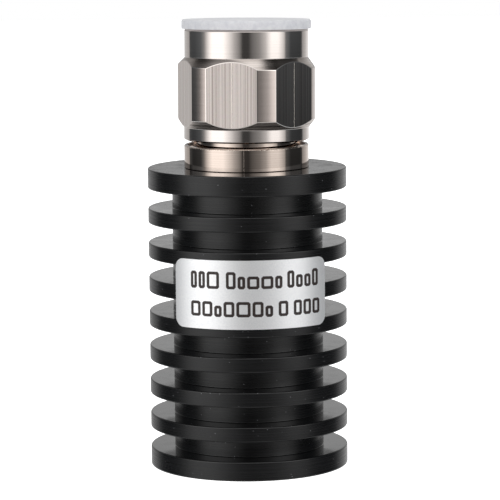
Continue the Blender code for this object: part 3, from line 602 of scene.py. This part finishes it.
def makeConnectorBody(nickel):
    grooveRadius = body["neckRadius"] - body["ringGroove"]
    grooveBottom = ringBottom - body["runningGap"]
    grooveTop = ringTop + body["runningGap"]
    foot = body["collarRadius"] - body["footWidth"]
    footTop = sinkTop + body["footHeight"]
    lip = body["collarRadius"] - body["collarLip"]
    recessFloor = body["collarTop"] - body["recessDepth"]
    frontLedge = shankTop - body["frontPocketDepth"]
    rearLedge = spigotBottom + body["rearPocketDepth"]
    corners = [
        (body["rearPocketRadius"], spigotBottom, body["pocketEdge"]),
        (body["spigotRadius"] - body["spigotChamfer"], spigotBottom, body["fineEdge"]),
        (body["spigotRadius"], spigotBottom + body["spigotChamfer"], body["fineEdge"]),
        (body["spigotRadius"], sinkTop, 0),
        (foot, sinkTop, 0),
        (foot, footTop, 0),
        (body["collarRadius"], footTop, body["footEdge"]),
        (body["collarRadius"], body["collarTop"] - body["collarChamfer"], body["shoulderEdge"]),
        (body["collarRadius"] - body["collarChamfer"], body["collarTop"], body["lipEdge"]),
        (lip, body["collarTop"], body["lipEdge"]),
        (lip, recessFloor, body["edge"]),
        (body["neckRadius"], recessFloor, body["edge"]),
        (body["neckRadius"], grooveBottom, body["fineEdge"]),
        (grooveRadius, grooveBottom, 0),
        (grooveRadius, grooveTop, 0),
        (body["neckRadius"], grooveTop, body["fineEdge"]),
        (body["neckRadius"], shankTop, body["edge"]),
        (body["frontPocketRadius"], shankTop, body["edge"]),
        (body["frontPocketRadius"], frontLedge, 0),
        (body["lineRadius"], frontLedge, 0),
        (body["lineRadius"], rearLedge, 0),
        (body["rearPocketRadius"], rearLedge, 0),
    ]
    piece = turnPiece("connectorBody", roundedOutline(corners), nickel, body["steps"])
    turn = math.radians(body["screwTurn"])
    cutterBottom = spigotBottom - body["cutterReach"]
    holeOutline = [(0, cutterBottom), (body["screwHoleRadius"], cutterBottom),
                   (body["screwHoleRadius"], body["screwHoleTop"]), (0, body["screwHoleTop"])]
    for side in (-1, 1):
        cutter = turnPiece("screwHoleCutter", holeOutline, nickel, body["screwHoleSteps"])
        cutter.location = (side * body["screwCircle"] * math.cos(turn) * mm,
                           body["screwCircle"] * math.sin(turn) * mm, 0)
        cutWith(piece, cutter)
    evenNormals(piece)
    piece.location.x = body["offCentre"] * mm
    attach(piece, "load_body")
    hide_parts("connector_body")
    print("connector body: collar", body["collarRadius"] * 2, "mm")


# Coupling nut: a turned blank with six flats milled across its middle
nut = {
    "flatColumns": 26, "arcColumns": 12,          # facets on each flat and each corner
    "skirtRadius": 10.08, "skirtHeight": 2.12, "chamferWidth": 0.50, "chamferHeight": 0.25,
    "lowerCone": 1.32, "hexHeight": 8.47, "upperCone": 1.36,
    "cornerRadius": 11.11, "acrossFlats": 20.6, "flatAngle": 16.8,   # degrees from +X
    "wander": 0.33, "wanderAngle": -40,           # the bar ran out of true: the upper cone is wider there
    "barrelRadius": 9.98, "rimWidth": 0.13, "rimHeight": 0.36, "rimTop": 0.02, "fillet": 0.22,
    "undercut": 0.05, "undercutHeight": 0.14,     # left by the tool at the barrel's foot
    "lipRadius": 8.3, "grooveRadius": 9.05, "threadRadius": 7.4, "leadIn": 0.6,
    "threadBottom": shankTop + 2.5,
    "break": 0.05, "breakSteps": 4, "rimBreak": 0.03, "hexEdge": 0.09, "hexEdgeSteps": 3,
    "sharpAngle": 14,                       # degrees; the hexagon's edges from there on are broken
    "finishes": ("turned", "milled", "formed", "bar", "chattered"),
}


def lean(place, pivot, back, sideways=0.0):
    # turned by the degrees about the pivot's height on the axis, which then moves to place, in metres
    return (Matrix.Translation(place) @ Matrix.Rotation(math.radians(sideways), 4, "Y")
            @ Matrix.Rotation(math.radians(back), 4, "X") @ Matrix.Translation((0, 0, -pivot)))


# the nut is loose on its ring, and in the photograph it leans a little and stands off centre
nutLean = lean(place=(0.00003, 0, 0.05981), pivot=0.060, back=-1.1, sideways=0.35)


def nutColumns():
    # (angle, is on a flat) round the nut, with a column exactly where each flat starts and ends
    reach = math.acos(nut["acrossFlats"] / 2 / nut["cornerRadius"])
    columns = []
    for side in range(6):
        middle = math.radians(nut["flatAngle"]) + side * math.pi / 3
        for index in range(nut["flatColumns"]):
            columns.append((middle - reach + 2 * reach * index / nut["flatColumns"], True))
        gap = math.pi / 3 - 2 * reach
        for index in range(nut["arcColumns"]):
            columns.append((middle + reach + gap * index / nut["arcColumns"], False))
    return columns


def flatRadius(angle):
    # distance from the axis to the hexagon there, no further than the round corners
    fromMiddle = (angle - math.radians(nut["flatAngle"]) + math.pi / 6) % (math.pi / 3) - math.pi / 6
    return min(nut["acrossFlats"] / 2 / math.cos(fromMiddle), nut["cornerRadius"])


def nutOutline(angle):
    # the nut's section at one angle: both cones end where they meet the flat
    wide = flatRadius(angle)
    skirtTop = nutBottom + nut["skirtHeight"]
    barrelFoot = skirtTop + nut["lowerCone"] + nut["hexHeight"] + nut["upperCone"]
    lowerRun = nut["cornerRadius"] - nut["skirtRadius"]
    upperRun = nut["cornerRadius"] - nut["barrelRadius"]
    upperCone = nut["upperCone"] + nut["wander"] * math.cos(angle - math.radians(nut["wanderAngle"]))
    low = skirtTop + nut["lowerCone"] * (wide - nut["skirtRadius"]) / lowerRun
    high = barrelFoot - upperCone * (wide - nut["barrelRadius"]) / upperRun
    grooveBottom = ringBottom - body["runningGap"]
    grooveTop = ringTop + body["runningGap"]
    edge = nut["break"]
    return roundedOutline([
        (nut["lipRadius"], nutBottom, edge),
        (nut["skirtRadius"] - nut["chamferWidth"], nutBottom, edge),
        (nut["skirtRadius"], nutBottom + nut["chamferHeight"], edge),
        (nut["skirtRadius"], skirtTop, nut["fillet"]),
        (wide, low, 0),
        (wide, high, 0),
        (nut["barrelRadius"] - nut["undercut"], barrelFoot + nut["undercut"], 0),
        (nut["barrelRadius"] - nut["undercut"], barrelFoot + nut["undercutHeight"], 0),
        (nut["barrelRadius"], barrelFoot + nut["undercutHeight"], 0),
        (nut["barrelRadius"], nutTop - nut["rimHeight"], edge),
        (nut["barrelRadius"] - nut["rimWidth"], nutTop - nut["rimTop"], nut["rimBreak"]),
        (nut["barrelRadius"] - nut["rimWidth"] * 2, nutTop, nut["rimBreak"]),
        (nut["threadRadius"] + nut["leadIn"], nutTop, edge),
        (nut["threadRadius"], nutTop - nut["leadIn"], edge),
        (nut["threadRadius"], nut["threadBottom"], edge),
        (nut["lipRadius"], nut["threadBottom"], edge),
        (nut["lipRadius"], grooveTop, edge),
        (nut["grooveRadius"], grooveTop, edge),
        (nut["grooveRadius"], grooveBottom, edge),
        (nut["lipRadius"], grooveBottom, edge),
    ], nut["breakSteps"])


def makeCouplingNut(finishes):
    mesh = bmesh.new()
    columns = nutColumns()
    sections = [nutOutline(angle) for angle, onFlat in columns]
    rings = []
    for level in range(len(sections[0])):
        rings.append([mesh.verts.new(pointAt(section[level].x, angle, section[level].y))
                      for (angle, onFlat), section in zip(columns, sections)])
    rows = joinRings(mesh, rings, True)
    hexRow = 4 * (nut["breakSteps"] + 1)                  # four rounded corners come before it
    for face in rows[hexRow - 1]:
        face.material_index = nut["finishes"].index("chattered")
    for face in rows[hexRow + 1]:
        face.material_index = nut["finishes"].index("formed")
    for face, (angle, onFlat) in zip(rows[hexRow], columns):
        face.material_index = nut["finishes"].index("milled" if onFlat else "bar")
    mesh.normal_update()
    sharp = {edge for face in rows[hexRow] for edge in face.edges
             if edge.calc_face_angle() > math.radians(nut["sharpAngle"])}
    bmesh.ops.bevel(mesh, geom=sorted(sharp, key=lambda edge: edge.index), offset=nut["hexEdge"] * mm,
                    segments=nut["hexEdgeSteps"], profile=0.5, affect="EDGES", clamp_overlap=True)
    piece = finishPiece("couplingNut", mesh, [finishes[name] for name in nut["finishes"]])
    evenNormals(piece)
    piece.matrix_world = nutLean
    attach(piece, "coupling")
    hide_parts("coupling_nut")
    print("coupling nut: columns", len(columns))


# Dust cap, pushed into the nut
cap = {
    "steps": 160, "arcSteps": 6, "flange": 1.50, "topEdge": 0.40, "lowerEdge": 0.15,
    "skirtRadius": 7.1, "skirtLength": 7.4, "wall": 0.9,
    "floorEdge": 0.3, "innerEdge": 0.2, "outerEdge": 0.3, "neckEdge": 0.1,
}
# it isn't pushed fully home at the front, so it leans back a little more than the nut
capLean = lean(place=(0, 0, 0.07085), pivot=0.0710, back=-0.25)


def makeDustCap(plastic):
    flangeBottom = capTop - cap["flange"]
    skirtBottom = flangeBottom - cap["skirtLength"]
    inside = cap["skirtRadius"] - cap["wall"]
    corners = [
        (0.0, flangeBottom, 0),
        (inside, flangeBottom, cap["floorEdge"]),
        (inside, skirtBottom, cap["innerEdge"]),
        (cap["skirtRadius"], skirtBottom, cap["outerEdge"]),
        (cap["skirtRadius"], flangeBottom, cap["neckEdge"]),
        (capRadius, flangeBottom, cap["lowerEdge"]),
        (capRadius, capTop, cap["topEdge"]),
        (0.0, capTop, 0),
    ]
    piece = turnPiece("dustCap", roundedOutline(corners, cap["arcSteps"]), plastic, cap["steps"])
    piece.data.transform(nutLean @ capLean)
    evenNormals(piece)
    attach(piece, "coupling")
    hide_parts("dust_cap")
    print("dust cap: across", round(capRadius * 2, 2), "mm")


# Label film wrapped round three discs, with a generic stand-in for its print
label = {
    "radius": sinkRadius + 0.02, "thickness": 0.12, "centreAngle": -88.0,
    "length": 26.2, "height": 10.9, "middle": 29.75, "cornerRadius": 1.55,
    "columns": 90, "cornerSteps": 12, "sharpAngle": 40,
}
# each row is its bottom and height, and for each word where it starts and ends along the label and
# its marks' shares of that length; a negative share is a mark without an ascender. The marks are
# plain frames, one for each place where a character would stand.
labelPrint = {
    "lift": 0.002, "thickness": 0.012, "gap": 0.30, "lowShare": 0.74,
    "rounding": 0.28, "innerRounding": 0.08, "stroke": 0.45,
    "rows": (
        (30.70, 2.72, ((-9.97, -5.10, (3, 3, 5)), (-4.00, 4.90, (5, -4, -6, -6, -4)),
                       (5.72, 11.45, (3, -3, -3, 3)))),
        (26.28, 2.42, ((-9.97, 3.35, (4, 4, -3, 4, 5, 4, -3)), (4.25, 5.85, (1,)),
                       (6.80, 11.75, (3, 3, 3)))),
    ),
}


def onLabel(along, height, radius):
    return pointAt(radius, math.radians(label["centreAngle"]) + along / sinkRadius, height)


def makeLabel(film):
    half = label["length"] / 2
    corner = label["cornerRadius"]
    places = {}
    for index in range(label["cornerSteps"] + 1):
        turn = math.pi / 2 * index / label["cornerSteps"]
        reach = half - corner + corner * math.cos(turn)
        for side in (-1, 1):
            places[round(side * reach, 5)] = corner * (1 - math.sin(turn))
    for index in range(1, label["columns"]):
        along = -half + corner + (2 * half - 2 * corner) * index / label["columns"]
        places.setdefault(round(along, 5), 0.0)
    mesh = bmesh.new()
    rings = []
    inner = label["radius"]
    outer = inner + label["thickness"]
    for along, inset in sorted(places.items()):
        low = label["middle"] - label["height"] / 2 + inset
        high = label["middle"] + label["height"] / 2 - inset
        rings.append([mesh.verts.new(onLabel(along, height, radius))
                      for radius, height in ((inner, low), (outer, low), (outer, high), (inner, high))])
    joinRings(mesh, rings, False)
    mesh.faces.new(rings[0])
    mesh.faces.new(rings[-1])
    piece = finishPiece("ratingLabel", mesh, [film])
    piece.data.set_sharp_from_angle(angle=math.radians(label["sharpAngle"]))
    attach(piece, "load_body")
    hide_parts("rating_label")
    print("label: columns", len(places))


def markPath(left, right, bottom, top, rounding):
    # corners of a rounded box; its long sides have a middle point, so that they follow the label
    middle = (left + right) / 2
    return [(left + rounding, bottom), (middle, bottom), (right - rounding, bottom),
            (right, bottom + rounding), (right, top - rounding),
            (right - rounding, top), (middle, top), (left + rounding, top),
            (left, top - rounding), (left, bottom + rounding)]


def makeLabelPrint(ink):
    mesh = bmesh.new()
    inner = label["radius"] + label["thickness"] + labelPrint["lift"]
    outer = inner + labelPrint["thickness"]
    stroke = labelPrint["stroke"]
    count = 0
    for bottom, height, words in labelPrint["rows"]:
        for start, end, shares in words:
            unit = (end - start + labelPrint["gap"]) / sum(abs(share) for share in shares)
            left = start
            for share in shares:
                right = left + abs(share) * unit - labelPrint["gap"]
                top = bottom + height * (labelPrint["lowShare"] if share < 0 else 1.0)
                rim = markPath(left, right, bottom, top, labelPrint["rounding"])
                hole = markPath(left + stroke, right - stroke, bottom + stroke, top - stroke,
                                labelPrint["innerRounding"])
                rings = []
                for atRim, atHole in zip(rim, hole):
                    section = ((atRim, inner), (atRim, outer), (atHole, outer), (atHole, inner))
                    rings.append([mesh.verts.new(onLabel(*place, radius)) for place, radius in section])
                joinRings(mesh, rings, True)
                left = right + labelPrint["gap"]
                count += 1
    piece = finishPiece("labelPrint", mesh, [ink], smooth=False)
    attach(piece, "load_body")
    print("label print: marks", count)


# Camera at the photograph's place, fitted to the fins' outlines
cameraSetup = {
    "lens": 198.16, "sensor": 36, "clipStart": 0.01,
    "place": (0.00037, -0.44155, 0.09314), "lookDown": 7.53, "roll": -0.527,
}


def makeCamera():
    data = bpy.data.cameras.new("photoCamera")
    data.lens = cameraSetup["lens"]
    data.sensor_width = cameraSetup["sensor"]
    data.clip_start = cameraSetup["clipStart"]
    camera = bpy.data.objects.new("photoCamera", data)
    tilt = Matrix.Rotation(math.radians(90 - cameraSetup["lookDown"]), 4, "X")
    roll = Matrix.Rotation(math.radians(cameraSetup["roll"]), 4, "Z")
    camera.matrix_world = Matrix.Translation(cameraSetup["place"]) @ tilt @ roll
    bpy.context.scene.collection.objects.link(camera)
    bpy.context.scene.camera = camera
    print("camera: lens", data.lens)


# White tent with two softboxes and black flags between them. Each level is degrees round from the
# camera, right is plus, and how bright the studio is there.
studio = {
    "brightest": 1.7,
    "levels": (
        (-180, 1.00), (-160, 0.68), (-131, 0.48),                               # backdrop, left
        (-130, 0.09), (-110, 0.10), (-93, 0.155),                               # left flag
        (-84, 0.33), (-73, 1.25), (-66, 1.70), (-44, 1.70), (-30, 1.03),        # left softbox
        (-22, 0.62), (-12, 0.29), (-7, 0.06), (4, 0.06),                        # dark by the camera
        (11, 0.20), (24, 0.37), (36, 0.76),
        (42, 1.27), (47, 1.62), (61, 1.62), (67, 1.27), (75, 0.75),             # right softbox
        (77, 0.25), (85, 0.17), (90, 0.092), (100, 0.09), (124, 0.08),          # right flag
        (126, 0.38), (140, 0.64), (157, 0.95), (180, 1.00),                     # backdrop, right
    ),
    # each of these is the sine of the height angle where a change starts and ends, and the share
    # that is left then: lower down the softboxes fade, the right one first, and so do the flags
    "leftFade": (-0.10, -0.17, 0.60), "rightFade": (-0.042, -0.17, 0.30),
    "flagFade": (-0.042, -0.105, 0.30),
    "boxLift": (0.0, 0.08, 1.5),                  # the softboxes are brighter higher up
    # the backdrop has a thin dark band about 5 degrees up, and is greyer above it
    "upperFade": (0.02, 0.09, 0.25), "skyLift": (0.103, 0.109, 2.74),
    "middle": (-0.2, 0.2), "side": (0.7, 0.85), "back": (0.45, 0.6),      # where the parts meet
    "flagLevel": (0.35, 0.15),                    # what is darker than that at the sides is a flag
    "flagTint": (0.86, 0.94, 1.0, 1.0),
    "roofEdge": (26, 38),                         # degrees up
    # the roof from left to right, as the direction's sideways part and how bright
    "roof": (
        (-0.63, 0.03), (-0.60, 0.20), (-0.55, 0.40), (-0.40, 0.50), (-0.25, 0.58), (-0.04, 0.90),
        (0.10, 1.18), (0.26, 1.10), (0.34, 0.66), (0.41, 0.18), (0.46, 0.08), (0.57, 0.02), (0.63, 0.05),
    ),
    "frontPanel": 1.45, "frontPanelEdge": (0.28, 0.45),       # above the camera
    "tableEdge": (-15, -28), "table": 0.75,
    "fill": 0.78,                                 # what the white tent gives to matt surfaces
}


def studioRamp(tree, value, stops):
    # a ramp's levels stop at 1, so they are divided by the brightest one and multiplied again
    ramp = rampOver(tree, value, *[(place, level / studio["brightest"]) for place, level in stops])
    return compute(tree, "MULTIPLY", ramp, studio["brightest"])


def heightShare(tree, height, edge):
    start, end = (math.sin(math.radians(degrees)) for degrees in edge)
    return spread(tree, height, start, end, curve="SMOOTHSTEP")


def makeStudio():
    scene = bpy.context.scene
    world = bpy.data.worlds.new("studio")
    scene.world = world
    world.use_nodes = True
    tree = world.node_tree
    tree.nodes.clear()
    direction = addNode(tree, "ShaderNodeTexCoord").outputs["Generated"]
    axes = addNode(tree, "ShaderNodeSeparateXYZ", {}, {0: direction}).outputs
    sideways, back, height = axes["X"], axes["Y"], axes["Z"]
    front = compute(tree, "MULTIPLY", back, -1.0)
    azimuth = compute(tree, "ARCTAN2", sideways, front)
    around = studioRamp(tree, spread(tree, azimuth, -math.pi, math.pi),
                        [((degrees + 180) / 360, level) for degrees, level in studio["levels"]])
    fades = {}
    for name in ("leftFade", "rightFade", "flagFade", "boxLift", "upperFade", "skyLift"):
        start, end, left = studio[name]
        fades[name] = spread(tree, height, start, end, 1.0, left)
    rightward = spread(tree, sideways, *studio["middle"])
    boxFade = mixLevels(tree, rightward, fades["leftFade"], fades["rightFade"])
    atSide = spread(tree, compute(tree, "ABSOLUTE", sideways), *studio["side"])
    onFlag = compute(tree, "MULTIPLY", atSide, spread(tree, around, *studio["flagLevel"]))
    frontFade = mixLevels(tree, onFlag, boxFade, fades["flagFade"])
    fade = mixLevels(tree, spread(tree, back, *studio["back"]),
                     compute(tree, "MULTIPLY", frontFade, fades["boxLift"]),
                     compute(tree, "MULTIPLY", fades["upperFade"], fades["skyLift"]))
    sides = compute(tree, "MULTIPLY", around, fade)
    roof = studioRamp(tree, spread(tree, sideways, -1.0, 1.0),
                      [((place + 1) / 2, level) for place, level in studio["roof"]])
    nearCamera = spread(tree, front, *studio["frontPanelEdge"], curve="SMOOTHSTEP")
    above = mixLevels(tree, nearCamera, roof, studio["frontPanel"])
    withRoof = mixLevels(tree, heightShare(tree, height, studio["roofEdge"]), sides, above)
    withTable = mixLevels(tree, heightShare(tree, height, studio["tableEdge"]), withRoof, studio["table"])
    rays = addNode(tree, "ShaderNodeLightPath").outputs
    filled = mixLevels(tree, rays["Is Diffuse Ray"], withTable, studio["fill"])
    tint = mixColours(tree, onFlag, (1, 1, 1, 1), studio["flagTint"])
    light = addNode(tree, "ShaderNodeBackground", {}, {"Color": tint, "Strength": filled})
    white = addNode(tree, "ShaderNodeBackground", {}, {"Color": (1, 1, 1, 1), "Strength": 1.0})
    mix = addNode(tree, "ShaderNodeMixShader", {},
                  {0: rays["Is Camera Ray"], 1: light.outputs[0], 2: white.outputs[0]})
    addNode(tree, "ShaderNodeOutputWorld", {}, {"Surface": mix.outputs[0]})
    scene.view_settings.view_transform = "Standard"
    scene.view_settings.look = "None"
    print("studio: stops", len(studio["levels"]))


# Pale floor, lit from below like a light table, so that hardly any shadow stays
floorLook = {
    "size": 1.5, "light": "FAFAFA", "shade": "F4F4F4", "cloudSize": 40, "roughness": 0.6, "glow": 0.96,
}


def makeFloor():
    mesh = bmesh.new()
    bmesh.ops.create_grid(mesh, x_segments=1, y_segments=1, size=floorLook["size"])
    material, tree, shader = startMaterial("whiteAcrylicSheet")
    cloud = scaledNoise(tree, floorLook["cloudSize"])
    base = rampOver(tree, cloud, (noiseLow, floorLook["shade"]), (noiseHigh, floorLook["light"]))
    tree.links.new(base, shader.inputs["Base Color"])
    shader.inputs["Roughness"].default_value = floorLook["roughness"]
    shader.inputs["Emission Color"].default_value = (1, 1, 1, 1)
    shader.inputs["Emission Strength"].default_value = floorLook["glow"]
    floor = finishPiece("floor", mesh, [material], smooth=False)
    floor.visible_glossy = False
    floor.visible_diffuse = False
    floor.visible_shadow = False
    floor.visible_transmission = False
    print("floor laid")


makeCamera()
makeStudio()
makeFloor()
finishInnerPieces()
makeHeatSink(makeAnodised())
makeConnectorBody(makeTurnedNickel("nickelPlatedBrassCoarseTurned", collarNickelLook))
makeCouplingNut({
    "turned": makeTurnedNickel("nickelPlatedBrassTurned", turnedNickelLook),
    "milled": makeMilledNickel(),
    "formed": makeTurnedNickel("nickelPlatedBrassFormed", formedNickelLook),
    "bar": makeTurnedNickel("nickelPlatedBrassBar", barNickelLook),
    "chattered": makeTurnedNickel("nickelPlatedBrassChattered", chatteredNickelLook),
})
makeDustCap(makeCapPlastic())
makeLabel(makeFilm())
makeLabelPrint(makeInk())
